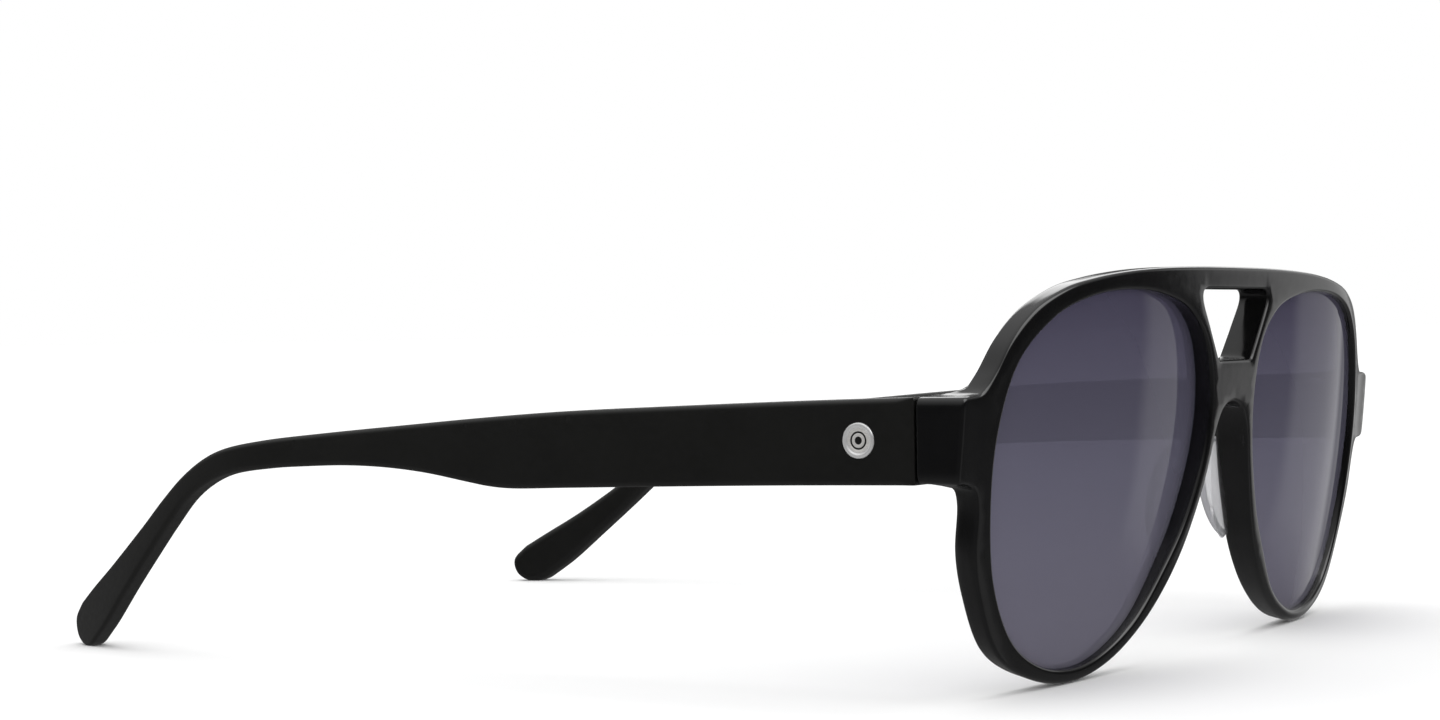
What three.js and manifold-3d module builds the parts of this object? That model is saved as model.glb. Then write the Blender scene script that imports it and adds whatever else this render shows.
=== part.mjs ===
// Plastic aviator sunglasses: a two-bar acetate front, two lenses, glued nose pads and two hinged temples.
// Millimetres, +Z up. The wearer's right is -X, the front looks towards -Y and the temples run to +Y.
// The pair stands open on its rim bottoms and temple tips, with the origin under the middle of its box.
import * as THREE from "three";
import { mergeVertices } from "three/addons/utils/BufferGeometryUtils.js";
import Module from "manifold-3d";

const wasm = await Module();
wasm.setup();

// Front
const HALF_WIDTH = 69.2; // middle to the outer face of an end piece
const EYE_Z = 24.4; // height of the datum line through both lenses
const WRAP = { depth: 5.35, x: 64 }; // the face falls back this far by here, then runs level to the end pieces
const TILT = THREE.MathUtils.degToRad(7); // the top leans forward
const BOW = 0.0024; // curvature of the front face from top to bottom, 1/mm
const FRONT_THICK = 3.2;
const BRIDGE_EXTRA = 1.7; // the front is this much thicker at the bridge
const BRIDGE_SPREAD = 20; // and thins to the sides over this distance
const SHEET = { width: 150, height: 60, columns: 24, rows: 6 };

// Lenses and their groove, measured forward from the back of the front: the lenses sit deep near the nose
const LENS = { front: 2.2, back: 0.6, gap: 0.35 };
const BEVEL = { front: 1.7, back: 1.1, reach: 0.5 };
const GROOVE = { front: 1.95, back: 0.85, reach: 0.8 };

// End pieces and temples
const END = { inner: 63.0, post: 65.4, front: 6.2, bottom: 25.2, top: 35.1, split: 10.2, shelf: 8.6 };
const TEMPLE = { outer: 69.1, thick: 3.5, start: 10.5, turn: THREE.MathUtils.degToRad(1.9) };
const CURL = { from: 94, rate: 0.0042 }; // past here the temple curves in towards the head, 1/mm
const BAR = { length: 150, height: 60, steps: 50 };
const PLAQUE = { y: 17.7, z: 30.2, radius: 2.05, depth: 0.5, proud: 0.15, recess: 0.6 };

// Five-knuckle hinge: three knuckles on the front, two on the temple
const HINGE = { x: 63.5, y: 10.5, bottom: 26.2, pitch: 1.6, knuckle: 1.3, count: 5, radius: 1.5, bore: 0.9 };
const LEAF = { thick: 0.9, front: 7.1, inset: 2.8, end: 19.4, bottom: 26.5, top: 33.7, gap: 0.3 };
const SCREW = { radius: 0.6, head: 1.25, headHeight: 0.55, tail: 0.3 };
const WIRE = { radius: 0.5, channel: 0.8, sides: 6, steps: 18 };

const OUTLINE_STEPS = 108;
const OPENING_STEPS = 52;
const ROUND = 16; // sides of the small round parts

// Colours of the materials
const FINISH = {
  acetate: { color: 0x0b0b0c, roughness: 0.12, metalness: 0 },
  satin: { color: 0x141415, roughness: 0.42, metalness: 0 },
  smoke: { color: 0x5a5864, roughness: 0.03, metalness: 0 },
  clear: { color: 0xe4e6e8, roughness: 0.1, metalness: 0 },
  silver: { color: 0xc2c2c4, roughness: 0.25, metalness: 1 },
  steel: { color: 0xa9abae, roughness: 0.3, metalness: 1 },
};

// The lens opening of the wearer's left eye, anticlockwise, as (x, z)
const OPENING = [
  [61.6, 23], [61.4, 30.9], [58.3, 38.7], [51.8, 43.7], [43.9, 46.1], [33.7, 47], [23.4, 46.4],
  [15.2, 44.4], [9.9, 40.4], [7.6, 33.9], [8.3, 26.9], [12.5, 18.1], [17.9, 11.8], [24, 6.3],
  [31, 3.1], [38.2, 1.7], [46.8, 2.7], [54.1, 6.4], [59.3, 13.6],
];
// The front's outer edge from the middle of the brow round to the middle of the nose arch
const EDGE = [
  [0, 50.1], [12, 50.05], [24, 49.8], [34, 49.3], [42.2, 48.5], [49, 47.3], [55.4, 44.8], [59.8, 41.3],
  [62.8, 37.4], [64.8, 35.5], [67.2, 35.1],
];
const UNDER = [
  [67.2, 25.2], [65.3, 24.6], [64.4, 22.4], [63.8, 17], [61.6, 11.8], [56.4, 4.8], [48.2, 1.2],
  [38.8, -0.45], [29.6, 1.6], [21.6, 5.4], [16.2, 9.7], [12.6, 13.8], [10.2, 17.6], [8.1, 21.6],
  [6.5, 25.6], [5.3, 29.2], [3.2, 31.8], [0, 32.6],
];
// The window between the brow bar and the bridge bar, half of it, with rounded corners
const WINDOW = { top: 47.2, topHalf: 12.9, bottom: 38.0, bottomHalf: 5.8, corner: 1.1 };

// Side view of a temple as (distance along it from the hinge split, z), tip and underside included
const TEMPLE_TOP = [
  [0, 35.1], [17.5, 34.6], [34.2, 34], [48.8, 33.4], [61.1, 32.6], [73.7, 31.6], [87, 30.5], [97.3, 29.5],
  [104.7, 28.3], [108.7, 26.9], [112.9, 24.6], [117.4, 21.3], [122.2, 17.5], [130.1, 11.9], [136, 8.2],
  [139.4, 6],
];
const TIP = [[141.3, 3.7], [140.8, 1.3], [138.9, -0.35], [136.8, -0.05]];
const TEMPLE_BOTTOM = [
  [134.7, 1.5], [132.1, 3.5], [126.7, 8.4], [121.5, 13.1], [116.7, 17.5], [112.3, 21.3], [108.2, 23.6],
  [104.2, 24.9], [96.8, 25.8], [89.9, 26.2], [83.1, 26.4], [76.5, 26.2], [70.1, 25.6], [63.7, 24.6],
  [60.3, 24.1], [57, 23.9], [49, 24.1], [34.4, 24.5], [17.7, 24.9], [0, 25.2],
];
// Middle line of the core wire, the same way
const WIRE_LINE = [[9.4, 30.1], [50, 28.7], [76, 28.9], [92, 28.1], [103, 26.8], [110.5, 23.8], [119, 17.2]];

// Nose pads: half sizes, place of the middle, and lean along the rim
const PAD = { half: [2.6, 3.0, 7.6], x: 9.9, z: 20.7, depth: 4.4, lean: THREE.MathUtils.degToRad(-25) };

// How far the front face lies behind the front of the bridge, at eye height
function frontDepth(x, z) {
  const reach = Math.abs(x) / WRAP.x;
  const level = (1 + reach ** 24) ** (1 / 6);
  const height = z - EYE_Z;
  return (WRAP.depth * reach ** 4) / level - Math.tan(TILT) * height + BOW * height ** 2;
}

const thickness = (x) => FRONT_THICK + BRIDGE_EXTRA * Math.exp(-((x / BRIDGE_SPREAD) ** 2));

// Bends a flat plate: a point at (x, z) and some depth goes behind the front face, square to it
function bend(x, depth, z) {
  const step = 0.01;
  const slopeX = (frontDepth(x + step, z) - frontDepth(x - step, z)) / (2 * step);
  const slopeZ = (frontDepth(x, z + step) - frontDepth(x, z - step)) / (2 * step);
  const inward = new THREE.Vector3(-slopeX, 1, -slopeZ).normalize();
  return new THREE.Vector3(x, frontDepth(x, z), z).addScaledVector(inward, depth);
}

function bent(geometry, depthOf = (x, depth) => depth) {
  const position = geometry.attributes.position;
  for (let i = 0; i < position.count; i++) {
    const [x, depth, z] = [position.getX(i), position.getY(i), position.getZ(i)];
    position.setXYZ(i, ...bend(x, depthOf(x, depth), z));
  }
  return geometry;
}

// Manifold solids from closed three.js geometries, and back
function solid(geometry) {
  const bare = geometry.clone();
  for (const name of Object.keys(bare.attributes)) {
    if (name !== "position") bare.deleteAttribute(name);
  }
  const merged = mergeVertices(bare, 1e-5);
  const vertProperties = new Float32Array(merged.attributes.position.array);
  const triVerts = new Uint32Array(merged.index.array);
  return new wasm.Manifold(new wasm.Mesh({ numProp: 3, vertProperties, triVerts }));
}

function geometryOf(shape) {
  const mesh = shape.getMesh();
  const geometry = new THREE.BufferGeometry();
  geometry.setAttribute("position", new THREE.BufferAttribute(new Float32Array(mesh.vertProperties), 3));
  geometry.setIndex(new THREE.BufferAttribute(new Uint32Array(mesh.triVerts), 1));
  return geometry;
}

function block(x0, x1, y0, y1, z0, z1) {
  const box = new THREE.BoxGeometry(x1 - x0, y1 - y0, z1 - z0);
  return solid(box.translate((x0 + x1) / 2, (y0 + y1) / 2, (z0 + z1) / 2));
}

function post(x, y, z0, z1, radius) {
  const cylinder = new THREE.CylinderGeometry(radius, radius, z1 - z0, ROUND);
  return solid(cylinder.rotateX(Math.PI / 2).translate(x, y, (z0 + z1) / 2));
}

// A disc whose axis runs along X
function disc(x0, x1, y, z, radius) {
  const cylinder = new THREE.CylinderGeometry(radius, radius, x1 - x0, ROUND + 8);
  return solid(cylinder.rotateZ(Math.PI / 2).translate((x0 + x1) / 2, y, z));
}

// A sheet that follows the front's curve between two depths
function bentSheet(front, back) {
  const { width, height, columns, rows } = SHEET;
  const box = new THREE.BoxGeometry(width, 1, height, columns, 1, rows).translate(0, 0, EYE_Z);
  return solid(bent(box, (x, depth) => (depth < 0 ? front(x) : back(x))));
}

// A sheet inside the front, its two faces at steady distances from the back
function innerSheet({ front, back }) {
  return bentSheet((x) => thickness(x) - front, (x) => thickness(x) - back);
}

// A solid of an outline given as (x, z), its walls square to the bent front
function prism(points) {
  const shape = new THREE.Shape(points.map(([x, z]) => new THREE.Vector2(x, z)));
  const plate = new THREE.ExtrudeGeometry(shape, { depth: 16, bevelEnabled: false });
  return solid(bent(plate.rotateX(Math.PI / 2).translate(0, 11, 0)));
}

const flip = (points) => points.map(([x, z]) => [-x, z]);

function smoothLoop(points, steps) {
  const curve = new THREE.CatmullRomCurve3(points.map(([x, z]) => new THREE.Vector3(x, 0, z)), true);
  return curve.getSpacedPoints(steps).slice(0, -1).map((p) => [p.x, p.z]);
}

function smoothLine(points, steps) {
  const curve = new THREE.CatmullRomCurve3(points.map(([x, z]) => new THREE.Vector3(x, 0, z)));
  return curve.getSpacedPoints(steps).map((p) => [p.x, p.z]);
}

// Moves an anticlockwise loop outwards by a distance
function grow(points, distance) {
  return points.map(([x, z], i) => {
    const [ax, az] = points[(i + points.length - 1) % points.length];
    const [bx, bz] = points[(i + 1) % points.length];
    const length = Math.hypot(bx - ax, bz - az);
    return [x + (distance * (bz - az)) / length, z - (distance * (bx - ax)) / length];
  });
}

const opening = smoothLoop(OPENING, OPENING_STEPS);

function edgeLoop() {
  const brow = smoothLine(EDGE, OUTLINE_STEPS / 4);
  const under = smoothLine(UNDER, OUTLINE_STEPS / 3);
  const half = [...brow, [HALF_WIDTH, END.top], [HALF_WIDTH, END.bottom], ...under];
  const other = flip(half.slice(1, -1)).reverse();
  return [...half, ...other];
}

function windowLoop() {
  const { top, topHalf, bottom, bottomHalf, corner } = WINDOW;
  const shape = new THREE.Shape();
  shape.moveTo(-topHalf + 2 * corner, top);
  shape.lineTo(topHalf - 2 * corner, top);
  shape.quadraticCurveTo(topHalf, top, topHalf - 0.6 * corner, top - 1.1 * corner);
  shape.lineTo(bottomHalf + 0.7 * corner, bottom + 0.8 * corner);
  shape.quadraticCurveTo(bottomHalf, bottom, bottomHalf - corner, bottom);
  shape.lineTo(-bottomHalf + corner, bottom);
  shape.quadraticCurveTo(-bottomHalf, bottom, -bottomHalf - 0.7 * corner, bottom + 0.8 * corner);
  shape.lineTo(-topHalf + 0.6 * corner, top - 1.1 * corner);
  shape.quadraticCurveTo(-topHalf, top, -topHalf + 2 * corner, top);
  return shape.getPoints(5).slice(0, -1).map((p) => [p.x, p.y]);
}

// The same solid on the other side of the face
const mirrored = (shape) => shape.mirror([1, 0, 0]);

// Everything below is made for the wearer's left, at +X
function frontLeaf(gap) {
  const { thick, front, bottom, top } = LEAF;
  return block(HINGE.x - gap, HINGE.x + thick + gap, front - gap, HINGE.y - 0.9, bottom - gap, top + gap);
}

// The round space that the knuckles and the screw turn in
function hingeSpace() {
  const top = HINGE.bottom + HINGE.count * HINGE.pitch;
  return post(HINGE.x, HINGE.y, HINGE.bottom - 0.6, top + 0.6, HINGE.radius + LEAF.gap);
}

function knuckles(isFront) {
  const parts = [];
  for (let k = isFront ? 0 : 1; k < HINGE.count; k += 2) {
    const z0 = HINGE.bottom + k * HINGE.pitch;
    parts.push([z0, z0 + HINGE.knuckle]);
  }
  return parts;
}

function frontHinge() {
  let hinge = frontLeaf(0);
  for (const [z0, z1] of knuckles(true)) hinge = hinge.add(post(HINGE.x, HINGE.y, z0, z1, HINGE.radius));
  for (const [z0, z1] of knuckles(false)) {
    hinge = hinge.subtract(post(HINGE.x, HINGE.y, z0 - LEAF.gap, z1 + LEAF.gap, HINGE.radius + LEAF.gap));
  }
  return hinge.subtract(post(HINGE.x, HINGE.y, 0, 60, HINGE.bore));
}

// The temple is modelled straight along Y, then turned inwards about its outer front corner
function turned(shape) {
  const turn = new THREE.Matrix4().makeRotationZ(TEMPLE.turn);
  const place = new THREE.Matrix4().makeTranslation(TEMPLE.outer, TEMPLE.start, 0);
  const back = new THREE.Matrix4().makeTranslation(-TEMPLE.outer, -TEMPLE.start, 0);
  return shape.transform(place.multiply(turn).multiply(back).elements);
}

const leafX = TEMPLE.outer - LEAF.inset; // inner face of the temple's hinge leaf

function templeLeaf(gap) {
  const { thick, end, bottom, top } = LEAF;
  const y0 = TEMPLE.start + (gap ? -1 : 0.1);
  return block(leafX - gap, leafX + thick + gap, y0, end + gap, bottom - gap, top + gap);
}

function templeHinge() {
  let hinge = turned(templeLeaf(0));
  for (const [z0, z1] of knuckles(false)) {
    hinge = hinge.add(block(HINGE.x, leafX + 0.5, HINGE.y + 0.4, HINGE.y + 1.4, z0, z1));
    hinge = hinge.add(post(HINGE.x, HINGE.y, z0, z1, HINGE.radius));
  }
  return hinge.subtract(post(HINGE.x, HINGE.y, 0, 60, HINGE.bore));
}

function hingeScrew() {
  const top = HINGE.bottom + (HINGE.count - 1) * HINGE.pitch + HINGE.knuckle + LEAF.gap;
  const shaft = post(HINGE.x, HINGE.y, HINGE.bottom - SCREW.tail, top + 0.1, SCREW.radius);
  const slot = block(HINGE.x - 2, HINGE.x + 2, HINGE.y - 0.15, HINGE.y + 0.15, top + 0.3, top + 2);
  return shaft.add(post(HINGE.x, HINGE.y, top, top + SCREW.headHeight, SCREW.head)).subtract(slot);
}

// How far the temple has curved in, a distance along it from the split
const curl = (along) => CURL.rate * Math.max(0, along - CURL.from) ** 2;

function wire(radius, start) {
  const x = TEMPLE.outer - TEMPLE.thick / 2;
  const line = WIRE_LINE.map(([y, z], i) => new THREE.Vector3(x - curl(y), TEMPLE.start + (i ? y : start), z));
  const section = new THREE.Shape().absarc(0, 0, radius, 0, 2 * Math.PI);
  const extrudePath = new THREE.CatmullRomCurve3(line);
  const { steps, sides } = WIRE;
  return solid(new THREE.ExtrudeGeometry(section, { extrudePath, steps, curveSegments: sides, bevelEnabled: false }));
}

// A bar as thick as the temple, straight at first and then curving in
function curvedBar() {
  const { length, height, steps } = BAR;
  const bar = new THREE.BoxGeometry(TEMPLE.thick, length, height, 1, steps, 1);
  const position = bar.translate(TEMPLE.outer - TEMPLE.thick / 2, length / 2 - 1, EYE_Z).attributes.position;
  for (let i = 0; i < position.count; i++) position.setX(i, position.getX(i) - curl(position.getY(i)));
  return solid(bar.translate(0, TEMPLE.start, 0));
}

function temple() {
  const side = [
    ...smoothLine(TEMPLE_TOP, 28),
    ...smoothLine([TEMPLE_TOP.at(-1), ...TIP, TEMPLE_BOTTOM[0]], 14).slice(1, -1),
    ...smoothLine(TEMPLE_BOTTOM, 30),
  ];
  const shape = new THREE.Shape(side.map(([y, z]) => new THREE.Vector2(y, z)));
  const profile = new THREE.ExtrudeGeometry(shape, { depth: 60, bevelEnabled: false });
  // the outline's first axis becomes Y and its second becomes Z
  profile.rotateX(Math.PI / 2).rotateZ(Math.PI / 2).translate(20, TEMPLE.start, 0);
  const { y, z, radius, recess } = PLAQUE;
  let body = solid(profile).intersect(curvedBar());
  body = body.subtract(disc(TEMPLE.outer - recess, TEMPLE.outer + 1, y, z, radius + 0.3));
  body = body.subtract(templeLeaf(LEAF.gap));
  body = body.subtract(wire(WIRE.channel, LEAF.end - TEMPLE.start - 0.5));
  body = turned(body);
  body = body.subtract(hingeSpace());
  body = body.subtract(block(60, leafX + 0.8, 9, HINGE.y + 1.8, LEAF.bottom - LEAF.gap, LEAF.top + LEAF.gap));
  body = body.subtract(block(60, 80, 0, END.split + 0.3, 20, 40));
  return body.subtract(block(0, 90, 0, 200, -5, 0));
}

function plaque() {
  const { y, z, radius, depth, proud } = PLAQUE;
  const outer = TEMPLE.outer + proud;
  const face = disc(outer - depth + 0.05, outer, y, z, radius);
  return turned(face.subtract(disc(outer - 0.12, outer + 1, y, z, radius - 0.35)));
}

function nosePad() {
  const ball = new THREE.SphereGeometry(1, 16, 10).rotateX(Math.PI / 2).scale(...PAD.half);
  ball.rotateY(PAD.lean).translate(PAD.x, frontDepth(PAD.x, PAD.z) + PAD.depth, PAD.z);
  return solid(ball).subtract(bentSheet(() => -20, (x) => thickness(x) + 0.3));
}

function lens() {
  const disk = innerSheet(LENS).intersect(prism(grow(opening, -LENS.gap)));
  const rim = innerSheet(BEVEL).intersect(prism(grow(opening, BEVEL.reach)));
  return disk.add(rim);
}

function frontFrame() {
  let plate = bentSheet(() => 0, thickness).intersect(prism(edgeLoop()));
  const grooveSheet = innerSheet(GROOVE);
  for (const side of [(shape) => shape, mirrored]) {
    const step = block(END.inner, HALF_WIDTH, END.front, END.shelf, END.bottom, END.top);
    const stop = block(END.post, HALF_WIDTH, END.front, END.split, END.bottom, END.top);
    plate = plate.add(side(step)).add(side(stop));
    plate = plate.subtract(side(prism(opening)));
    plate = plate.subtract(side(grooveSheet.intersect(prism(grow(opening, GROOVE.reach)))));
    plate = plate.subtract(side(frontLeaf(LEAF.gap)));
    plate = plate.subtract(side(hingeSpace()));
  }
  plate = plate.subtract(prism(windowLoop()));
  return plate.subtract(block(-80, 80, -20, 40, -5, 0));
}

const glasses = new THREE.Group();

function addMesh(name, shape, finish) {
  const mesh = new THREE.Mesh(geometryOf(shape), new THREE.MeshStandardMaterial(FINISH[finish]));
  mesh.name = name;
  glasses.add(mesh);
}

addMesh("front_frame", frontFrame(), "acetate");
const SIDES = { left: (shape) => shape, right: mirrored };
for (const [side, place] of Object.entries(SIDES)) {
  addMesh(`lens_${side}`, place(lens()), "smoke");
  addMesh(`nose_pad_${side}`, place(nosePad()), "clear");
  addMesh(`front_hinge_${side}`, place(frontHinge()), "steel");
  addMesh(`hinge_screw_${side}`, place(hingeScrew()), "steel");
  addMesh(`temple_${side}`, place(temple()), "satin");
  addMesh(`temple_hinge_${side}`, place(templeHinge()), "steel");
  addMesh(`core_wire_${side}`, place(turned(wire(WIRE.radius, LEAF.end - TEMPLE.start + 0.4))), "steel");
  addMesh(`temple_plaque_${side}`, place(plaque()), "silver");
}

// Move the whole so that the middle of its box stands over the origin
const middle = new THREE.Box3().setFromObject(glasses).getCenter(new THREE.Vector3());
glasses.position.set(0, -middle.y, 0);
glasses.updateMatrixWorld(true);

export default glasses;
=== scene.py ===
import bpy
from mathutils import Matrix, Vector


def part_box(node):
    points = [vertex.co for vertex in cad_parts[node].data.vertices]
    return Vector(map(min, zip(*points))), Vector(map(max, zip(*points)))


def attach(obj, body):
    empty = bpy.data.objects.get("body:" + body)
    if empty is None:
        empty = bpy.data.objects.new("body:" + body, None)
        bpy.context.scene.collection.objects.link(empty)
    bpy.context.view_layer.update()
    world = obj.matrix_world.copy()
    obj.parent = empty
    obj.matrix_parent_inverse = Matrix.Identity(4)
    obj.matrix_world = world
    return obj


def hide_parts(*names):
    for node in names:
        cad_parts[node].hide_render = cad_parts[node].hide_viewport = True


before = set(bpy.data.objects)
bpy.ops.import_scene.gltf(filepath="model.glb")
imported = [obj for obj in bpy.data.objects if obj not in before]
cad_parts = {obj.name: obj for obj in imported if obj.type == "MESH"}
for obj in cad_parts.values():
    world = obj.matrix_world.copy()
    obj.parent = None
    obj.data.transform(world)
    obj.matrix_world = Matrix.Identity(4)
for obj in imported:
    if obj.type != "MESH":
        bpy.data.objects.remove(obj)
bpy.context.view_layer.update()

import math

import bmesh
import bpy
import numpy as np
from mathutils import Matrix, Vector
from mathutils.geometry import delaunay_2d_cdt

scene = bpy.context.scene

MM = 0.001
LEFT, RIGHT = 1, -1  # a side multiplies x; every table is drawn for the wearer's left
NAMES = {LEFT: "left", RIGHT: "right"}

# Depths are measured from the face of the bridge at eye height. The front's foremost point has this one.
FOREMOST_DEPTH = -1.5116
SHIFT_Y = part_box("front_frame")[0][1] / MM - FOREMOST_DEPTH

# ------------------------------------------------------------------ the front, in millimetres
EYE_Z = 24.4  # height of the datum line through both lenses
WRAP_DEPTH, WRAP_X = 5.35, 64.0  # the face falls back this far by here, then runs level
TILT = math.tan(math.radians(7))  # the top leans forward
BOW = 0.0024  # curvature of the face from top to bottom, 1/mm
FRONT_THICK, BRIDGE_EXTRA, BRIDGE_SPREAD = 3.2, 1.7, 20.0

# The lens opening, anticlockwise, as (x, z)
OPENING = [
    (61.6, 23), (61.4, 30.9), (58.3, 38.7), (51.8, 43.7), (43.9, 46.1), (33.7, 47), (23.4, 46.4),
    (15.2, 44.4), (9.9, 40.4), (7.6, 33.9), (8.3, 26.9), (12.5, 18.1), (17.9, 11.8), (24, 6.3),
    (31, 3.1), (38.2, 1.7), (46.8, 2.7), (54.1, 6.4), (59.3, 13.6),
]
# The outer edge from the middle of the brow to the end piece, and from there to the middle of the nose arch
BROW = [
    (0, 50.1), (12, 50.05), (24, 49.8), (34, 49.3), (42.2, 48.5), (49, 47.3), (55.4, 44.8), (59.8, 41.3),
    (62.8, 37.4), (64.8, 35.5), (67.2, 35.1),
]
UNDER = [
    (67.2, 25.2), (65.3, 24.6), (64.4, 22.4), (63.8, 17), (61.6, 11.8), (56.4, 4.8), (48.2, 1.2),
    (38.8, 0.0), (29.6, 1.6), (21.6, 5.4), (16.2, 9.7), (12.6, 13.8), (10.2, 17.6), (8.1, 21.6),
    (6.5, 25.6), (5.3, 29.2), (3.2, 31.8), (0, 32.6),
]
# Between the brow bar and the bridge bar
WINDOW = [(-12.9, 47.2), (12.9, 47.2), (5.8, 38.0), (-5.8, 38.0)]
WINDOW_CORNER = 1.5
HALF_WIDTH = 69.2
END_CORNER = 1.0
FACE_EDGE, HOLE_EDGE = 0.55, 0.5  # edge radii
REAR_EDGE, JOINT_CUT = 0.8, 0.62  # and how much smaller the radius is where an end piece meets its temple

# The end pieces. Each pair is the start and the end of a smooth change, in x or in z
SPLIT, SHELF = 10.2, 8.6  # depths of the rear face at the temple and of the step that holds the hinge
SHELF_X, SPLIT_X, JOINT_X = (62.2, 63.2), (65.2, 65.9), (64.2, 65.6)
SHELF_LOW, SHELF_HIGH = (24.4, 25.4), (35.2, 36.0)
STRAIGHT_X, STRAIGHT_LOW, STRAIGHT_HIGH = (60.5, 66.5), (23.5, 26.0), (36.0, 38.5)

# The lenses: LENS_SET is from the back of the front to a lens's face, and LENS_GROW the part in the groove
LENS_THICK, LENS_SET, LENS_GROW, LENS_EDGE = 1.6, 2.2, 0.45, 0.3

# ------------------------------------------------------------------ temples, hinges and pads
TEMPLE_OUTER, TEMPLE_THICK, TEMPLE_START = 69.1, 3.5, 10.5
TEMPLE_TURN = math.radians(1.9)
FLAT_END = 0.05  # up to here along it, a temple's edge is crisp
CURL_FROM, CURL_RATE = 94.0, 0.0042  # past here the temple curves in towards the head, 1/mm
# Side view of a temple, as (distance along it, z)
TEMPLE_TOP = [
    (0, 35.1), (17.5, 34.6), (34.2, 34), (48.8, 33.4), (61.1, 32.6), (73.7, 31.6), (87, 30.5), (97.3, 29.5),
    (104.7, 28.3), (108.7, 26.9), (112.9, 24.6), (117.4, 21.3), (122.2, 17.5), (130.1, 11.9), (136, 8.2),
    (139.4, 6),
]
TIP = [(141.3, 3.7), (140.8, 1.3), (138.9, 0.0), (136.8, 0.15)]
TEMPLE_BOTTOM = [
    (134.7, 1.5), (132.1, 3.5), (126.7, 8.4), (121.5, 13.1), (116.7, 17.5), (112.3, 21.3), (108.2, 23.6),
    (104.2, 24.9), (96.8, 25.8), (89.9, 26.2), (83.1, 26.4), (76.5, 26.2), (70.1, 25.6), (63.7, 24.6),
    (60.3, 24.1), (57, 23.9), (49, 24.1), (34.4, 24.5), (17.7, 24.9), (0, 25.2),
]
CORE_WIRE = [(9.4, 30.1), (50, 28.7), (76, 28.9), (92, 28.1), (103, 26.8), (110.5, 23.8), (119, 17.2)]
WIRE_RADIUS, WIRE_TURNS = 0.48, 12

# The plaque: its section as (radius, height), and the rings that its colours follow
PLAQUE_Y, PLAQUE_Z, PLAQUE_RADIUS, PLAQUE_TURNS, PLAQUE_PROUD = 17.7, 30.2, 2.05, 64, 0.02
PLAQUE_DOT = [(0, -0.05), (0.42, -0.05), (0.46, 0.0)]
PLAQUE_GROOVE = [(0.84, 0.0), (0.87, -0.05), (1.02, -0.05), (1.05, 0.0)]
# The raised rim, as (distance in from the edge, height)
PLAQUE_RIM = [
    (0.62, 0.0), (0.55, 0.03), (0.48, 0.13), (0.36, 0.2), (0.2, 0.2), (0.08, 0.15), (0.0, 0.04),
    (0.0, -0.3),
]
PLAQUE_BACK = -0.3
DOT_RADIUS, GROOVE_RADII, RIM_WIDTH = 0.44, (0.85, 1.04), 0.6

HINGE_X, HINGE_Y, HINGE_BOTTOM, HINGE_PITCH = 63.5, 10.5, 26.2, 1.6
KNUCKLE_COUNT, KNUCKLE_HEIGHT, KNUCKLE_RADIUS, KNUCKLE_BORE, KNUCKLE_BEVEL = 5, 1.3, 1.5, 0.66, 0.12
# Each half of a hinge: its knuckles, the corners and bevel of its leaf, and the (x, y) corners of its arms
FRONT_HALF = (0, 2, 4), ((63.52, 7.3, 26.5), (64.38, 8.9, 33.7)), 0.12, ((62.9, 8.2), (64.1, 9.6))
TEMPLE_HALF = (1, 3), ((65.45, 11.0, 26.9), (66.3, 18.6, 33.3)), 0.15, ((64.1, 10.95), (66.4, 11.85))
ARM_INSET, ARM_BEVEL = 0.03, 0.1
# The screw: its shank, its head as (radius, height over the knuckles), and the slot in the head
SHANK_RADIUS, SHANK_BELOW, SHANK_ABOVE, SHANK_BEVEL = 0.6, 0.3, 0.1, 0.1
SCREW_HEAD = [(0.0, 0.45), (0.55, 0.45), (0.95, 0.38), (1.15, 0.2), (1.18, 0.02), (0.0, 0.02)]
SLOT_HALF_LENGTH, SLOT_HALF_WIDTH, SLOT_FLOOR, SLOT_ABOVE, SLOT_BEVEL = 1.5, 0.13, 0.22, 1, 0.01

PAD_HALF, PAD_X, PAD_Z, PAD_DEPTH, PAD_LEAN = (2.6, 3.0, 7.6), 9.9, 20.7, 4.4, math.radians(-25)
PAD_ROWS, PAD_TURNS = 28, 36
PAD_SQUARE = 0.86  # below 1, the pad is squarer than an ellipsoid
PAD_SEAT = 1.005  # the pad's flat lies at this many thicknesses of the front


# ------------------------------------------------------------------ curves and loops
def catmull(points, per, closed=False):
    """Points on a centripetal Catmull-Rom curve through the given ones."""
    p = np.array(points, float)
    n = len(p)
    out = []
    for i in range(n if closed else n - 1):
        p1, p2 = p[i], p[(i + 1) % n]
        p0 = p[(i - 1) % n] if closed or i > 0 else 2 * p1 - p2
        p3 = p[(i + 2) % n] if closed or i < n - 2 else 2 * p2 - p1
        t1, t2, t3 = (math.sqrt(np.linalg.norm(b - a)) for a, b in ((p0, p1), (p1, p2), (p2, p3)))
        m1 = ((p1 - p0) / t1 - (p2 - p0) / (t1 + t2) + (p2 - p1) / t2) * t2
        m2 = ((p2 - p1) / t2 - (p3 - p1) / (t2 + t3) + (p3 - p2) / t3) * t2
        for k in range(per):
            t = k / per
            out.append(
                (2 * t**3 - 3 * t**2 + 1) * p1 + (t**3 - 2 * t**2 + t) * m1
                + (3 * t**2 - 2 * t**3) * p2 + (t**3 - t**2) * m2
            )
    if not closed:
        out.append(p[-1])
    return np.array(out)


def resample(loop, step):
    """The same closed loop with evenly spaced points."""
    ring = np.vstack([loop, loop[:1]])
    along = np.concatenate([[0], np.cumsum(np.linalg.norm(np.diff(ring, axis=0), axis=1))])
    at = np.linspace(0, along[-1], int(round(along[-1] / step)), endpoint=False)
    return np.stack([np.interp(at, along, ring[:, k]) for k in (0, 1)], axis=1)


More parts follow.
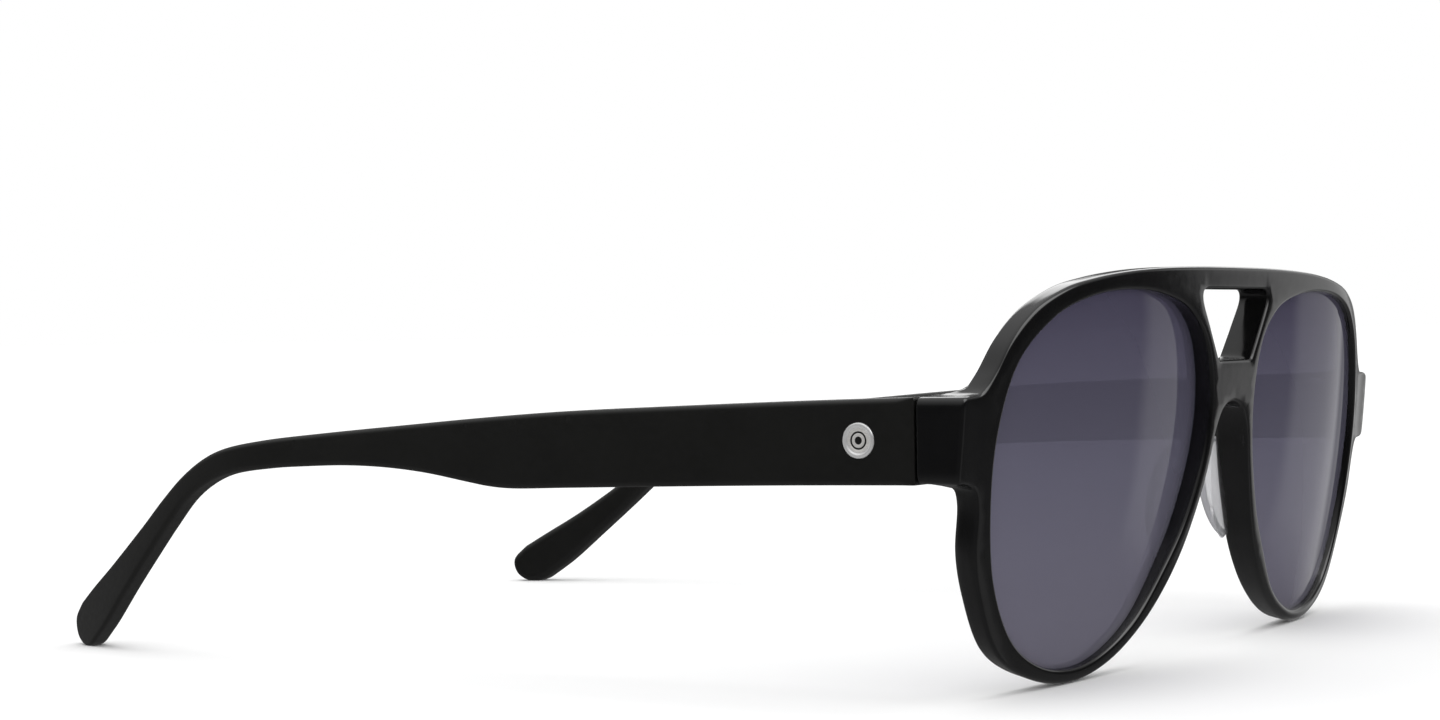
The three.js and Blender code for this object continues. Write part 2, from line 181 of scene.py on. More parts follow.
def soften(loop, passes):
    """Rounds a loop's corners a little by averaging neighbours."""
    for _ in range(passes):
        loop = loop * 0.5 + (np.roll(loop, 1, axis=0) + np.roll(loop, -1, axis=0)) * 0.25
    return loop


def anticlockwise(loop):
    x, z = loop.T
    twice_area = np.sum(x * np.roll(z, -1) - z * np.roll(x, -1))
    return loop if twice_area > 0 else loop[::-1].copy()


def normals(loop):
    """Unit normals that point out of an anticlockwise loop."""
    t = np.roll(loop, -1, axis=0) - np.roll(loop, 1, axis=0)
    n = np.stack([t[:, 1], -t[:, 0]], axis=1)
    return n / np.linalg.norm(n, axis=1, keepdims=True)


def mirrored(points, side):
    """Points drawn for the left side, on either side."""
    points = np.asarray(points, float).copy()
    points[:, 0] *= side
    return points


CORNER_STEPS = 8


def rounded_corners(points, radius):
    """A polygon with each corner replaced by CORNER_STEPS + 1 points of a curve."""
    out = []
    n = len(points)
    for i in range(n):
        a, b, c = (np.array(points[(i + k) % n], float) for k in (-1, 0, 1))
        u, v = (a - b) / np.linalg.norm(a - b), (c - b) / np.linalg.norm(c - b)
        half = math.acos(np.clip(u @ v, -1, 1)) / 2
        reach = radius / math.tan(half)
        start, end = b + u * reach, b + v * reach
        for k in range(CORNER_STEPS + 1):
            t = k / CORNER_STEPS
            out.append((1 - t) ** 2 * start + 2 * t * (1 - t) * b + t * t * end)
    return np.array(out)


def inside(points, loop):
    """Which points lie in a loop. A level edge crosses nothing, so its slope doesn't matter."""
    x, z = points[:, 0], points[:, 1]
    result = np.zeros(len(points), bool)
    for (ax, az), (bx, bz) in zip(loop, np.roll(loop, -1, axis=0)):
        crosses = (az > z) != (bz > z)
        result ^= crosses & (x < (bx - ax) * (z - az) / ((bz - az) or 1) + ax)
    return result


def in_plate(points, rings):
    """Which points lie in the first ring and in none of the others."""
    result = inside(points, rings[0])
    for hole in rings[1:]:
        result &= ~inside(points, hole)
    return result


def clearance(points, loop):
    """Distance from each point to the nearest point of a loop."""
    best = np.full(len(points), np.inf)
    for q in loop:
        best = np.minimum(best, np.hypot(points[:, 0] - q[0], points[:, 1] - q[1]))
    return best


def ramp(start, end, x):
    """0 before start, 1 past end, and smooth between."""
    t = np.clip((x - start) / (end - start), 0, 1)
    return t * t * (3 - 2 * t)


# ------------------------------------------------------------------ meshes
WELD = 1e-7  # metres


def mesh_object(name, points, faces, weld=False):
    """A smooth mesh of points in millimetres, its faces turned outwards."""
    mesh = bpy.data.meshes.new(name)
    mesh.from_pydata([tuple(p * MM) for p in np.asarray(points)], [], [tuple(f) for f in faces])
    bm = bmesh.new()
    bm.from_mesh(mesh)
    if weld:
        bmesh.ops.remove_doubles(bm, verts=bm.verts, dist=WELD)
    bmesh.ops.recalc_face_normals(bm, faces=bm.faces)
    bm.to_mesh(mesh)
    bm.free()
    mesh.polygons.foreach_set("use_smooth", [True] * len(mesh.polygons))
    obj = bpy.data.objects.new(name, mesh)
    scene.collection.objects.link(obj)
    return obj


def ring_faces(rings, turns):
    """Quads between neighbouring rings of points."""
    faces = []
    for i in range(rings - 1):
        for k in range(turns):
            n = (k + 1) % turns
            faces.append([i * turns + k, i * turns + n, (i + 1) * turns + n, (i + 1) * turns + k])
    return faces


EDGE_ARCS = 5  # steps over each rounded edge
WALL_SHARES = 0.33, 0.66  # where the rings between the two edges lie
BORDER_GAP = 0.55  # the grid's points stay this many grid steps from a border
CDT_EPSILON = 1e-7


def edge_rings(loop, towards, front, back, depth_of):
    """Points and depths of the rings over a loop's rounded edge, from the front face to the back one.

    towards is the direction of the material at each point, and front and back are the edge radii.
    """
    arc = [math.pi / 2 * k / EDGE_ARCS for k in range(EDGE_ARCS + 1)]
    for a in arc:
        yield loop + towards * (front * (1 - math.sin(a)))[:, None], front * (1 - math.cos(a))
    for share in WALL_SHARES:
        yield loop, front + (depth_of(*loop.T) - front - back) * share
    for a in reversed(arc):
        ring = loop + towards * (back * (1 - math.sin(a)))[:, None]
        yield ring, depth_of(*ring.T) - back * (1 - math.cos(a))


def fill(rings, grid):
    """Triangles over the first ring but not the others.

    Returns the points, for each the number of the ring point that it is (or None), and the triangles.
    """
    low, high = rings[0].min(0), rings[0].max(0)
    u, v = np.meshgrid(np.arange(low[0], high[0], grid), np.arange(low[1], high[1], grid))
    u = u + (np.arange(u.shape[0]) % 2)[:, None] * grid * 0.5  # every other row is half a step aside
    spots = np.stack([u.ravel(), v.ravel()], axis=1)
    spots = spots[in_plate(spots, rings)]
    edges, start = [], 0
    for ring in rings:
        spots = spots[clearance(spots, ring) > grid * BORDER_GAP]
        edges += [(start + i, start + (i + 1) % len(ring)) for i in range(len(ring))]
        start += len(ring)
    given = [Vector(p) for p in np.vstack([*rings, spots])]
    made = delaunay_2d_cdt(given, edges, [], 0, CDT_EPSILON, True)
    points, triangles, origins = made[0], made[2], made[3]
    sources = [origin[0] if origin and origin[0] < start else None for origin in origins]
    middles = np.array([np.mean([points[i] for i in tri], axis=0) for tri in triangles])
    return points, sources, [tri for tri, good in zip(triangles, in_plate(middles, rings)) if good]


def plate(name, outline, holes, place, depth_of, rounds, step, grid):
    """A plate with rounded edges. place maps (u, v, depth) to the frame; depth_of(u, v) is its thickness.

    rounds holds the front and back edge radii of the outline, then of each hole: numbers, or functions of
    the loop. step is the distance between points along an edge, and grid that between points of the faces.
    """
    flat, depth, faces, borders = [], [], [], []
    for number, points in enumerate([outline, *holes]):
        loop = anticlockwise(resample(points, step))
        count = len(loop)
        sign = 1 if number else -1  # the material lies inside the outline and outside each hole
        radii = [r(loop) if callable(r) else r for r in rounds[number]]
        front, back = (np.broadcast_to(np.asarray(r, float), count) for r in radii)
        starts = []
        for ring, level in edge_rings(loop, normals(loop) * sign, front, back, depth_of):
            starts.append(len(flat))
            flat.extend(ring)
            depth.extend(level)
        for start in starts[1:]:
            for i in range(count):
                j = (i + 1) % count
                quad = [start - count + i, start - count + j, start + j, start + i]
                faces.append(quad if sign < 0 else quad[::-1])
        borders.append([range(starts[k], starts[k] + count) for k in (0, -1)])
    for rear in (0, 1):  # the front face, then the back one
        ids = [i for border in borders for i in border[rear]]
        rings = [np.array([flat[i] for i in border[rear]]) for border in borders]
        points, sources, triangles = fill(rings, grid)
        new = []
        for p, source in zip(points, sources):
            if source is None:
                new.append(len(flat))
                flat.append(np.array(p))
                depth.append(depth_of(*np.array([p]).T)[0] * rear)
            else:
                new.append(ids[source])
        for tri in triangles:
            corners = [new[i] for i in tri]
            faces.append(corners[::-1] if rear else corners)
    return mesh_object(name, place(*np.array(flat).T, np.array(depth)), faces)


# ------------------------------------------------------------------ the bent front
def face_depth(x, z):
    """How far the face lies behind the bridge. It falls away to the sides and levels off past WRAP_X."""
    reach = np.abs(x) / WRAP_X
    level = (1 + reach**24) ** (1 / 6)
    height = z - EYE_Z
    return WRAP_DEPTH * reach**4 / level - TILT * height + BOW * height**2


def thickness(x):
    return FRONT_THICK + BRIDGE_EXTRA * np.exp(-((x / BRIDGE_SPREAD) ** 2))


def bend(x, z, depth):
    """A point at (x, z) goes some depth behind the front face, square to it."""
    e = 0.01
    sx = (face_depth(x + e, z) - face_depth(x - e, z)) / (2 * e)
    sz = (face_depth(x, z + e) - face_depth(x, z - e)) / (2 * e)
    length = np.sqrt(sx**2 + 1 + sz**2)
    y = face_depth(x, z) + depth / length + SHIFT_Y
    return np.stack([x - sx / length * depth, y, z - sz / length * depth], axis=1)


def front_thickness(x, z):
    """The plate's own thickness, and much more in the end pieces, whose rear faces meet the temples."""
    x_abs = np.abs(x)
    at_end = ramp(*SHELF_LOW, z) * (1 - ramp(*SHELF_HIGH, z))
    to_shelf = SHELF - face_depth(x, z)
    to_split = SPLIT - face_depth(x, z)
    base = thickness(x)
    base = base + np.maximum(to_shelf - base, 0) * ramp(*SHELF_X, x_abs) * at_end
    return base + np.maximum(to_split - base, 0) * ramp(*SPLIT_X, x_abs)


def front_place(x, z, depth):
    """Square to the face near it, and straight back in the deep end pieces."""
    straight = np.stack([x, face_depth(x, z) + depth + SHIFT_Y, z], axis=1)
    share = ramp(*STRAIGHT_X, np.abs(x)) * ramp(*STRAIGHT_LOW, z) * (1 - ramp(*STRAIGHT_HIGH, z))
    points = bend(x, z, depth) * (1 - share[:, None]) + straight * share[:, None]
    points[:, 2] = np.maximum(points[:, 2], 0)
    return points


def front_outline():
    """The whole outer edge, with the square end pieces between the brow and the lower edge."""
    brow, under = catmull(BROW, per=12), catmull(UNDER, per=12)
    (x, top), (_, bottom) = BROW[-1], UNDER[0]
    block = rounded_corners([(x, top), (HALF_WIDTH, top), (HALF_WIDTH, bottom), (x, bottom)], END_CORNER)
    per_corner = CORNER_STEPS + 1
    half = np.vstack([brow[:-1], block[per_corner : 3 * per_corner], under[1:]])
    whole = np.vstack([half, mirrored(half[1:-1][::-1], RIGHT)])
    return soften(resample(whole, step=0.35), passes=2)


def rear_radius(loop):
    """Well rounded behind, but crisp where an end piece meets its temple."""
    return REAR_EDGE - JOINT_CUT * ramp(*JOINT_X, np.abs(loop[:, 0]))


opening = catmull(OPENING, per=24, closed=True)


def make_front():
    holes = [opening, mirrored(opening, RIGHT), rounded_corners(WINDOW, WINDOW_CORNER)]
    rounds = [(FACE_EDGE, rear_radius)] + [(HOLE_EDGE, HOLE_EDGE)] * len(holes)
    return plate(
        "front", front_outline(), holes, front_place, front_thickness, rounds, step=0.42, grid=1.1,
    )


def make_lens(side):
    """The lenses sit at a steady distance from the back of the front, so they lie deep near the nose."""
    def place(x, z, depth):
        return mirrored(bend(x, z, depth + thickness(x) - LENS_SET), side)
    def depth_of(x, z):
        return np.full(len(x), LENS_THICK)
    loop = anticlockwise(resample(opening, step=0.6))
    loop = loop + normals(loop) * LENS_GROW
    rounds = [(LENS_EDGE, LENS_EDGE)]
    return plate("lens_" + NAMES[side], loop, [], place, depth_of, rounds, step=0.45, grid=1.6)


# ------------------------------------------------------------------ temples
def temple_place(along, z, depth, side):
    """A point of a temple, at a distance along it from the split and a depth in from its outer face."""
    x = -CURL_RATE * np.maximum(0, along - CURL_FROM) ** 2 - depth
    c, s = math.cos(TEMPLE_TURN), math.sin(TEMPLE_TURN)
    px = TEMPLE_OUTER + x * c - along * s
    py = TEMPLE_START + x * s + along * c
    return mirrored(np.stack([px, py + SHIFT_Y, np.maximum(z, 0)], axis=1), side)


def growing_radius(crisp, extra, end):
    """An edge radius that is crisp at the flat end by the hinge and grows along the temple."""
    return lambda loop: crisp + extra * ramp(FLAT_END, end, loop[:, 0])


def make_temple(side):
    def place(along, z, depth):
        return temple_place(along, z, depth, side)
    def depth_of(along, z):
        return np.full(len(along), TEMPLE_THICK)
    lines = TEMPLE_TOP, [TEMPLE_TOP[-1], *TIP, TEMPLE_BOTTOM[0]], TEMPLE_BOTTOM
    top, end, bottom = (catmull(line, per=8) for line in lines)
    outline = resample(np.vstack([top, end[1:], bottom[1:]]), step=0.4)
    outer = growing_radius(crisp=0.18, extra=0.52, end=2.5)
    inner = growing_radius(crisp=0.25, extra=0.85, end=3.0)
    return plate(
        "temple_body_" + NAMES[side], outline, [], place, depth_of, [(outer, inner)], step=0.45, grid=1.3,
    )


def make_wire(side):
    """A round wire along the middle of a temple, with flat ends."""
    line = catmull(CORE_WIRE, per=10)
    centre = temple_place(*line.T, TEMPLE_THICK / 2, side)
    points = []
    for i in range(len(centre)):
        t = centre[min(i + 1, len(centre) - 1)] - centre[max(i - 1, 0)]
        t /= np.linalg.norm(t)
        u = np.cross(t, [1, 0, 0])
        u /= np.linalg.norm(u)
        v = np.cross(t, u)
        for k in range(WIRE_TURNS):
            a = 2 * math.pi * k / WIRE_TURNS
            points.append(centre[i] + (u * math.cos(a) + v * math.sin(a)) * WIRE_RADIUS)
    faces = ring_faces(len(centre), WIRE_TURNS)
    faces.append(list(range(WIRE_TURNS)))
    faces.append(list(range(len(points) - WIRE_TURNS, len(points)))[::-1])
    return mesh_object("wire_" + NAMES[side], points, faces)


# ------------------------------------------------------------------ small parts
def lathe(profile, turns=40):
    """Points and faces of a closed profile of (radius, height) turned about Z."""
    points, faces = [], []
    count = len(profile)
    for k in range(turns):
        a = 2 * math.pi * k / turns
        points += [(r * math.cos(a), r * math.sin(a), h) for r, h in profile]
    for k in range(turns):
        n = (k + 1) % turns
        for i in range(count - 1):
            a, b = k * count + i, n * count + i
            if profile[i][0] == 0:
                faces.append([a, b + 1, a + 1])
            elif profile[i + 1][0] == 0:
                faces.append([a, b, a + 1])
            else:
                faces.append([a, b, b + 1, a + 1])
    return np.array(points), faces


def cylinder(radius, z0, z1, bevel, bore=0):
    """A bevelled cylinder, with a bevelled bore if it has one."""
    side = [(radius - bevel, z0), (radius, z0 + bevel), (radius, z1 - bevel), (radius - bevel, z1)]
    if not bore:
        return lathe([(0, z0), *side, (0, z1)])
    mouth = (bore, z0 + bevel)
    return lathe([mouth, (bore + bevel, z0), *side, (bore + bevel, z1), (bore, z1 - bevel), mouth])


def slab(lo, hi, bevel):
    """A rounded flat bar between two corners."""
    bm = bmesh.new()
    bmesh.ops.create_cube(bm, size=1)
    for v in bm.verts:
        v.co = Vector([(lo[k] + hi[k]) / 2 + v.co[k] * (hi[k] - lo[k]) for k in range(3)])
    bmesh.ops.bevel(bm, geom=bm.edges[:], offset=bevel, segments=3, affect="EDGES", profile=0.5)
    points = np.array([v.co[:] for v in bm.verts])
    faces = [[v.index for v in f.verts] for f in bm.faces]
    bm.free()
    return points, faces


def gather(name, parts, side):
    """One object of several closed shapes."""
    points, faces, start = [], [], 0
    for shape, shape_faces in parts:
        points.append(mirrored(shape + np.array([0, SHIFT_Y, 0]), side))
        faces += [[i + start for i in face] for face in shape_faces]
        start += len(shape)
    return mesh_object(name, np.vstack(points), faces, weld=True)


def at_hinge(shape):
    points, faces = shape
    return points + np.array([HINGE_X, HINGE_Y, 0]), faces


def make_hinge(name, half, side):
    """One half of a hinge: a leaf, and an arm from it to each of its knuckles."""
    knuckles, leaf, leaf_bevel, (arm_from, arm_to) = half
    parts = [slab(*leaf, leaf_bevel)]
    for k in knuckles:
        z0 = HINGE_BOTTOM + k * HINGE_PITCH
        z1 = z0 + KNUCKLE_HEIGHT
        parts.append(at_hinge(cylinder(KNUCKLE_RADIUS, z0, z1, KNUCKLE_BEVEL, KNUCKLE_BORE)))
        parts.append(slab((*arm_from, z0 + ARM_INSET), (*arm_to, z1 - ARM_INSET), ARM_BEVEL))
    return gather(name + NAMES[side], parts, side)


def make_screw(side):
    """A shank and a domed head, with a slot cut across the head."""
    top = HINGE_BOTTOM + (KNUCKLE_COUNT - 1) * HINGE_PITCH + KNUCKLE_HEIGHT
    shank = cylinder(SHANK_RADIUS, HINGE_BOTTOM - SHANK_BELOW, top + SHANK_ABOVE, SHANK_BEVEL)
    head = lathe([(r, top + h) for r, h in SCREW_HEAD])
    obj = gather("screw_" + NAMES[side], [at_hinge(shank), at_hinge(head)], side)
    low = HINGE_X - SLOT_HALF_LENGTH, HINGE_Y - SLOT_HALF_WIDTH, top + SLOT_FLOOR
    high = HINGE_X + SLOT_HALF_LENGTH, HINGE_Y + SLOT_HALF_WIDTH, top + SLOT_ABOVE
    tool = gather("slot_tool", [slab(low, high, SLOT_BEVEL)], side)
    cut = obj.modifiers.new("slot", "BOOLEAN")
    cut.operation, cut.solver, cut.object = "DIFFERENCE", "EXACT", tool
    deps = bpy.context.evaluated_depsgraph_get()
    mesh = bpy.data.meshes.new_from_object(obj.evaluated_get(deps))
    obj.modifiers.clear()
    obj.data = mesh
    bpy.data.objects.remove(tool)
    return obj


def squarish(v):
    return math.copysign(abs(v) ** PAD_SQUARE, v)


def make_pad(side):
    """A clear bean, flat where it is glued to the rim's back and leaning along it."""
    points = []
    for i in range(PAD_ROWS + 1):
        a = math.pi * i / PAD_ROWS
        for k in range(PAD_TURNS):
            b = 2 * math.pi * k / PAD_TURNS
            points.append((
                squarish(math.sin(a)) * squarish(math.cos(b)) * PAD_HALF[0],
                squarish(math.sin(a)) * squarish(math.sin(b)) * PAD_HALF[1],
                math.cos(a) * PAD_HALF[2],
            ))
    p = np.array(points)
    c, s = math.cos(PAD_LEAN), math.sin(PAD_LEAN)
    x = p[:, 0] * c + p[:, 2] * s + PAD_X
    z = -p[:, 0] * s + p[:, 2] * c + PAD_Z
    seat = face_depth(x, z) + thickness(x) * PAD_SEAT
    y = np.maximum(p[:, 1] + PAD_DEPTH + face_depth(PAD_X, PAD_Z), seat)
    placed = mirrored(np.stack([x, y + SHIFT_Y, z], axis=1), side)
    return mesh_object("pad_" + NAMES[side], placed, ring_faces(PAD_ROWS + 1, PAD_TURNS), weld=True)


def on_plaque(u, v, w, side):
    """A point of the plaque in the frame: u and v lie in its face and w goes out from it."""
    return temple_place(PLAQUE_Y - TEMPLE_START + u, PLAQUE_Z + v, -w, side)


def make_plaque(side):
    """A round disc with a dot, a groove and a raised bright rim, its face just proud of the plastic."""
    rim = [(PLAQUE_RADIUS - inward, h) for inward, h in PLAQUE_RIM]
    profile = [*PLAQUE_DOT, *PLAQUE_GROOVE, *rim, (0, PLAQUE_BACK)]
    points, faces = lathe(profile, PLAQUE_TURNS)
    u, v, w = points.T
    plaque = mesh_object("plaque_" + NAMES[side], on_plaque(u, v, w + PLAQUE_PROUD, side), faces, weld=True)
    centre = Vector(on_plaque(np.zeros(1), np.zeros(1), 0, side)[0] * MM)
    for polygon in plaque.data.polygons:
        distance = (polygon.center - centre).length / MM
        groove = distance < DOT_RADIUS or GROOVE_RADII[0] < distance < GROOVE_RADII[1]
        # the materials are brushed silver, bright rim and dark mark
        polygon.material_index = 1 if distance > PLAQUE_RADIUS - RIM_WIDTH else (2 if groove else 0)
    return plaque


# ------------------------------------------------------------------ materials
NOISE_RANGE = 0.3, 0.7  # where nearly all of a noise texture's values lie


class Look:
    """A material with one Principled shader, and the nodes that its noise, colours and bump need."""

    def __init__(self, name, **inputs):
        self.material = bpy.data.materials.new(name)
        self.material.use_nodes = True
        self.nodes, self.links = self.material.node_tree.nodes, self.material.node_tree.links
        self.shader = self.nodes["Principled BSDF"]
        for key, value in inputs.items():
            self.shader.inputs[key.replace("_", " ")].default_value = value

    def noise(self, scale, detail, rough=0.5, stretch=(1, 1, 1)):
        coords = self.nodes.new("ShaderNodeTexCoord")
        mapping = self.nodes.new("ShaderNodeMapping")
        mapping.inputs["Scale"].default_value = stretch
        texture = self.nodes.new("ShaderNodeTexNoise")
        texture.inputs["Scale"].default_value = scale
        texture.inputs["Detail"].default_value = detail
        texture.inputs["Roughness"].default_value = rough
        self.links.new(coords.outputs["Object"], mapping.inputs["Vector"])
        self.links.new(mapping.outputs["Vector"], texture.inputs["Vector"])
        return texture.outputs["Fac"]

    def roughness(self, value, low, high):
        node = self.nodes.new("ShaderNodeMapRange")
        node.inputs["From Min"].default_value, node.inputs["From Max"].default_value = NOISE_RANGE
        node.inputs["To Min"].default_value, node.inputs["To Max"].default_value = low, high
        self.links.new(value, node.inputs["Value"])
        self.links.new(node.outputs["Result"], self.shader.inputs["Roughness"])

    def colour(self, value, stops):
        """Base colour from stops of (position, colour)."""
        node = self.nodes.new("ShaderNodeValToRGB")
        elements = node.color_ramp.elements
        elements[0].position, elements[1].position = stops[0][0], stops[-1][0]
        elements[0].color, elements[1].color = (*stops[0][1], 1), (*stops[-1][1], 1)
        for position, colour in stops[1:-1]:
            elements.new(position).color = (*colour, 1)
        self.links.new(value, node.inputs["Fac"])
        self.links.new(node.outputs["Color"], self.shader.inputs["Base Color"])

    def mottle(self, value, a, b):
        """Base colour between two colours that follows a noise."""
        self.colour(value, list(zip(NOISE_RANGE, (a, b))))

    def bump(self, value, strength, distance):
        node = self.nodes.new("ShaderNodeBump")
        node.inputs["Strength"].default_value = strength
        node.inputs["Distance"].default_value = distance
        self.links.new(value, node.inputs["Height"])
        self.links.new(node.outputs["Normal"], self.shader.inputs["Normal"])


ACETATE_IOR = 1.5


def polished_acetate():
    look = Look("polished_acetate", IOR=ACETATE_IOR)
    look.mottle(look.noise(160, detail=4), (0.0030, 0.0030, 0.0033), (0.0048, 0.0048, 0.0050))
    look.roughness(look.noise(900, detail=6, rough=0.65), 0.085, 0.15)
    look.bump(look.noise(420, detail=2), strength=0.05, distance=0.00012)
    return look.material


def satin_acetate():
    look = Look("satin_acetate", IOR=ACETATE_IOR)
    look.mottle(look.noise(90, detail=4), (0.0042, 0.0042, 0.0036), (0.0058, 0.0058, 0.0050))
    look.roughness(look.noise(1400, detail=5, rough=0.6), 0.34, 0.46)
    look.bump(look.noise(5200, detail=3, rough=0.6), strength=0.12, distance=0.00003)
    return look.material


LENS_BOTTOM, LENS_TOP = 0.002, 0.047  # metres
TINT = [(0, (0.185, 0.176, 0.225)), (0.5, (0.135, 0.130, 0.178)), (1, (0.072, 0.066, 0.105))]


def smoke_lens():
    """A see-through tint that darkens from the bottom to the top."""
    look = Look("smoke_lens", IOR=1.16, Roughness=0.012, Transmission_Weight=0.4)
    coords = look.nodes.new("ShaderNodeTexCoord")
    split = look.nodes.new("ShaderNodeSeparateXYZ")
    look.links.new(coords.outputs["Object"], split.inputs["Vector"])
    height = look.nodes.new("ShaderNodeMapRange")
    height.inputs["From Min"].default_value, height.inputs["From Max"].default_value = LENS_BOTTOM, LENS_TOP
    look.links.new(split.outputs["Z"], height.inputs["Value"])
    look.colour(height.outputs["Result"], TINT)
    return look.material


def clear_pad():
    look = Look("clear_pad", IOR=1.3, Transmission_Weight=0.6)
    look.roughness(look.noise(500, detail=3), 0.05, 0.13)
    look.mottle(look.noise(120, detail=2), (0.72, 0.72, 0.74), (0.80, 0.80, 0.82))
    return look.material


def metal(name, a, b, roughness, scale, strength, stretch=(1, 1, 1), metallic=1.0):
    """A metal whose colour, gloss and bump follow one grain."""
    look = Look(name, Metallic=metallic)
    grain = look.noise(scale, detail=5, rough=0.7, stretch=stretch)
    look.mottle(grain, a, b)
    look.roughness(grain, *roughness)
    look.bump(grain, strength, distance=0.00002)
    return look.material


acetate = polished_acetate()
satin = satin_acetate()
smoke = smoke_lens()
clear = clear_pad()
silver = metal(
    "brushed_silver", (0.52, 0.51, 0.49), (0.74, 0.73, 0.71), (0.26, 0.42), scale=900, strength=0.35,
    stretch=(1, 1, 14), metallic=0.45,
)
bright = metal(
    "bright_rim", (0.74, 0.74, 0.74), (0.84, 0.84, 0.84), (0.14, 0.24), scale=700, strength=0.1,
    metallic=0.6,
)
dark_mark = metal(
    "dark_mark", (0.02, 0.02, 0.02), (0.05, 0.05, 0.05), (0.3, 0.5), scale=900, strength=0.2,
)
steel = metal(
    "hinge_steel", (0.48, 0.48, 0.49), (0.62, 0.62, 0.63), (0.24, 0.4), scale=1200, strength=0.3,
    stretch=(1, 1, 6),
)
screw_steel = metal(
    "screw_steel", (0.58, 0.58, 0.60), (0.70, 0.70, 0.72), (0.16, 0.3), scale=1500, strength=0.25,
)
wire_steel = metal(
    "wire_steel", (0.50, 0.50, 0.51), (0.60, 0.60, 0.61), (0.3, 0.45), scale=1500, strength=0.2,
    stretch=(1, 8, 1),
)


# ------------------------------------------------------------------ the pieces
def finish_piece(obj, body, node, materials):
    """Gives a piece its materials, and puts it on its body in place of its CAD node."""
    for material in materials:
        obj.data.materials.append(material)
    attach(obj, body)
    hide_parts(node)


finish_piece(make_front(), "front", "front_frame", [acetate])
for side, name in NAMES.items():
    moving = name + "_temple"
    finish_piece(make_lens(side), "front", "lens_" + name, [smoke])
    finish_piece(make_pad(side), "front", "nose_pad_" + name, [clear])
    hinge = make_hinge("hinge_front_leaf_", FRONT_HALF, side)
    finish_piece(hinge, "front", "front_hinge_" + name, [steel])
    finish_piece(make_screw(side), "front", "hinge_screw_" + name, [screw_steel])
    finish_piece(make_temple(side), moving, "temple_" + name, [satin])
    hinge = make_hinge("hinge_temple_leaf_", TEMPLE_HALF, side)
    finish_piece(hinge, moving, "temple_hinge_" + name, [steel])
    finish_piece(make_wire(side), moving, "core_wire_" + name, [wire_steel])
    plaque_looks = [silver, bright, dark_mark]
    finish_piece(make_plaque(side), moving, "temple_plaque_" + name, plaque_looks)


# ------------------------------------------------------------------ table, light and camera
TABLE_SIZE = 40  # metres
# The light all round at each elevation, in degrees
ELEVATIONS = [-90, -40, -20, -6, 0, 14, 40, 60, 90]
LEVELS = [0.2, 0.18, 0.13, 0.06, 0.03, 0.045, 0.55, 0.9, 1.0]
# Softboxes: middle and half sizes as (azimuth, elevation) and soft edge, all in degrees, then brightness
PANELS = [
    ((-12, 5), (8.7, 13), 3.5, 0.56),  # tall softbox that the brow and the bridge bar show
    ((4, 2), (7, 20), 9, 0.22),  # its dimmer neighbour
    ((24, 27), (16, 8), 7, 2.0),  # low strip behind, on the top edge of the near rim
    ((31, 4), (22, 5), 10, 0.05),  # faint band under that strip
    ((-75, 50), (28, 14), 12, 2.6),  # front softbox, drawn as thin lines along the front edges
    ((100, 5), (14, 25), 22, 0.17),  # wide dim panel behind the pair
    ((-66, -25), (16, 18), 3, 0.15),  # the table in front, in the lower part of the near rim
]
DOME_RADIUS = 3000  # millimetres
DOME_ROWS, DOME_TURNS = 60, 120

SUN_ENERGY, SUN_ANGLE = 0.7, math.radians(40)

# The camera, its lens in millimetres and its place in metres
SENSOR_WIDTH, FOCAL_LENGTH = 36, 70.88
EYE = Vector((-0.35081, -0.1344 + SHIFT_Y * MM, 0.04276))
LOOK = Vector((0.8561, 0.516713, -0.010066))
ACROSS = Vector((0.516539, -0.856119, -0.01573))  # the picture's right
CLIP = 0.01, 100


def make_table():
    """A white table top, far wider than the view, that the polished surfaces don't reflect."""
    h = TABLE_SIZE / 2
    mesh = bpy.data.meshes.new("table_top")
    mesh.from_pydata([(-h, -h, 0), (h, -h, 0), (h, h, 0), (-h, h, 0)], [], [(0, 1, 2, 3)])
    look = Look("white_table", Roughness=0.6, Specular_IOR_Level=0.0)
    look.mottle(look.noise(6, detail=3), (0.93, 0.93, 0.93), (0.95, 0.95, 0.95))
    mesh.materials.append(look.material)
    table = bpy.data.objects.new("table_top", mesh)
    table.visible_glossy = False
    scene.collection.objects.link(table)


def studio_light(azimuth, elevation):
    """What polished surfaces reflect. Both angles are in degrees, and azimuth runs from +X towards +Y."""
    light = np.interp(elevation, ELEVATIONS, LEVELS)
    for centre, half, soft, level in PANELS:
        da = np.abs((azimuth - centre[0] + 180) % 360 - 180) - half[0]
        de = np.abs(elevation - centre[1]) - half[1]
        light = light + level * (1 - ramp(0, soft, da)) * (1 - ramp(0, soft, de))
    return float(light)


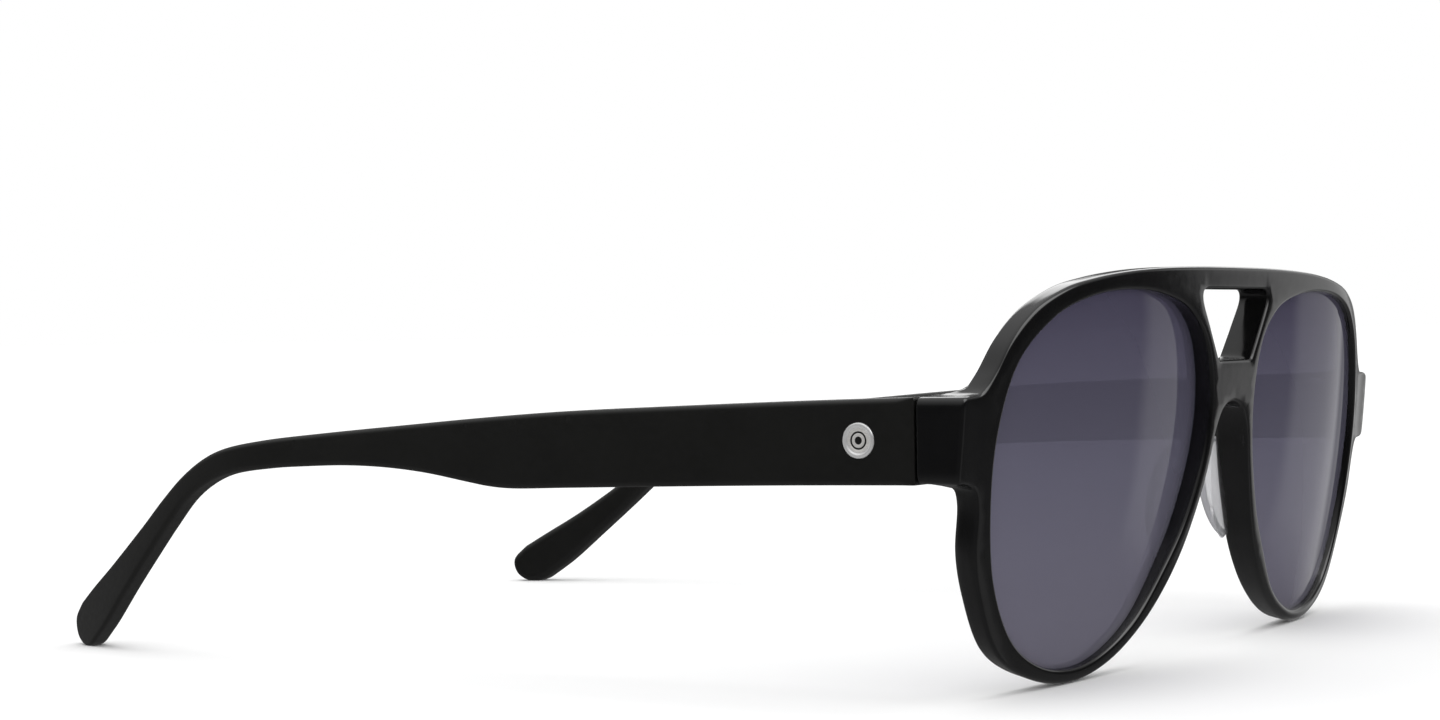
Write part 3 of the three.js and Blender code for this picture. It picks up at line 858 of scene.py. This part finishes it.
def make_studio():
    """A dome round the pair that only reflections see."""
    points, colours = [], []
    for i in range(DOME_ROWS + 1):
        elevation = -90 + 180 * i / DOME_ROWS
        for k in range(DOME_TURNS):
            azimuth = -180 + 360 * k / DOME_TURNS
            a, e = math.radians(azimuth), math.radians(elevation)
            direction = math.cos(a) * math.cos(e), math.sin(a) * math.cos(e), math.sin(e)
            points.append([DOME_RADIUS * part for part in direction])
            colours += [studio_light(azimuth, elevation)] * 3 + [1]
    dome = mesh_object("studio_dome", points, ring_faces(DOME_ROWS + 1, DOME_TURNS))
    layer = dome.data.color_attributes.new("level", "FLOAT_COLOR", "POINT")
    layer.data.foreach_set("color", colours)
    paint = bpy.data.materials.new("studio_dome")
    paint.use_nodes = True
    nodes, links = paint.node_tree.nodes, paint.node_tree.links
    nodes.clear()
    output, glow = nodes.new("ShaderNodeOutputMaterial"), nodes.new("ShaderNodeEmission")
    level = nodes.new("ShaderNodeAttribute")
    level.attribute_name = "level"
    links.new(level.outputs["Color"], glow.inputs["Color"])
    links.new(glow.outputs["Emission"], output.inputs["Surface"])
    paint.cycles.emission_sampling = "NONE"
    dome.data.materials.append(paint)
    dome.visible_camera = dome.visible_diffuse = dome.visible_transmission = dome.visible_shadow = False


def make_camera():
    camera = bpy.data.objects.new("camera", bpy.data.cameras.new("camera"))
    camera.data.sensor_width, camera.data.lens = SENSOR_WIDTH, FOCAL_LENGTH
    camera.data.clip_start, camera.data.clip_end = CLIP
    look = LOOK.normalized()
    right = (ACROSS - look * ACROSS.dot(look)).normalized()
    turn = Matrix((right, right.cross(look), -look)).transposed().to_4x4()
    camera.matrix_world = Matrix.Translation(EYE) @ turn
    scene.collection.objects.link(camera)
    bpy.context.scene.camera = camera


make_table()
make_studio()
make_camera()

world = bpy.data.worlds.new("studio")
scene.world = world
world.use_nodes = True
background = world.node_tree.nodes["Background"]
background.inputs["Color"].default_value = (1, 1, 1, 1)
background.inputs["Strength"].default_value = 1.0

sun = bpy.data.objects.new("overhead", bpy.data.lights.new("overhead", "SUN"))
sun.data.energy, sun.data.angle = SUN_ENERGY, SUN_ANGLE
scene.collection.objects.link(sun)

scene.view_settings.view_transform = "Standard"
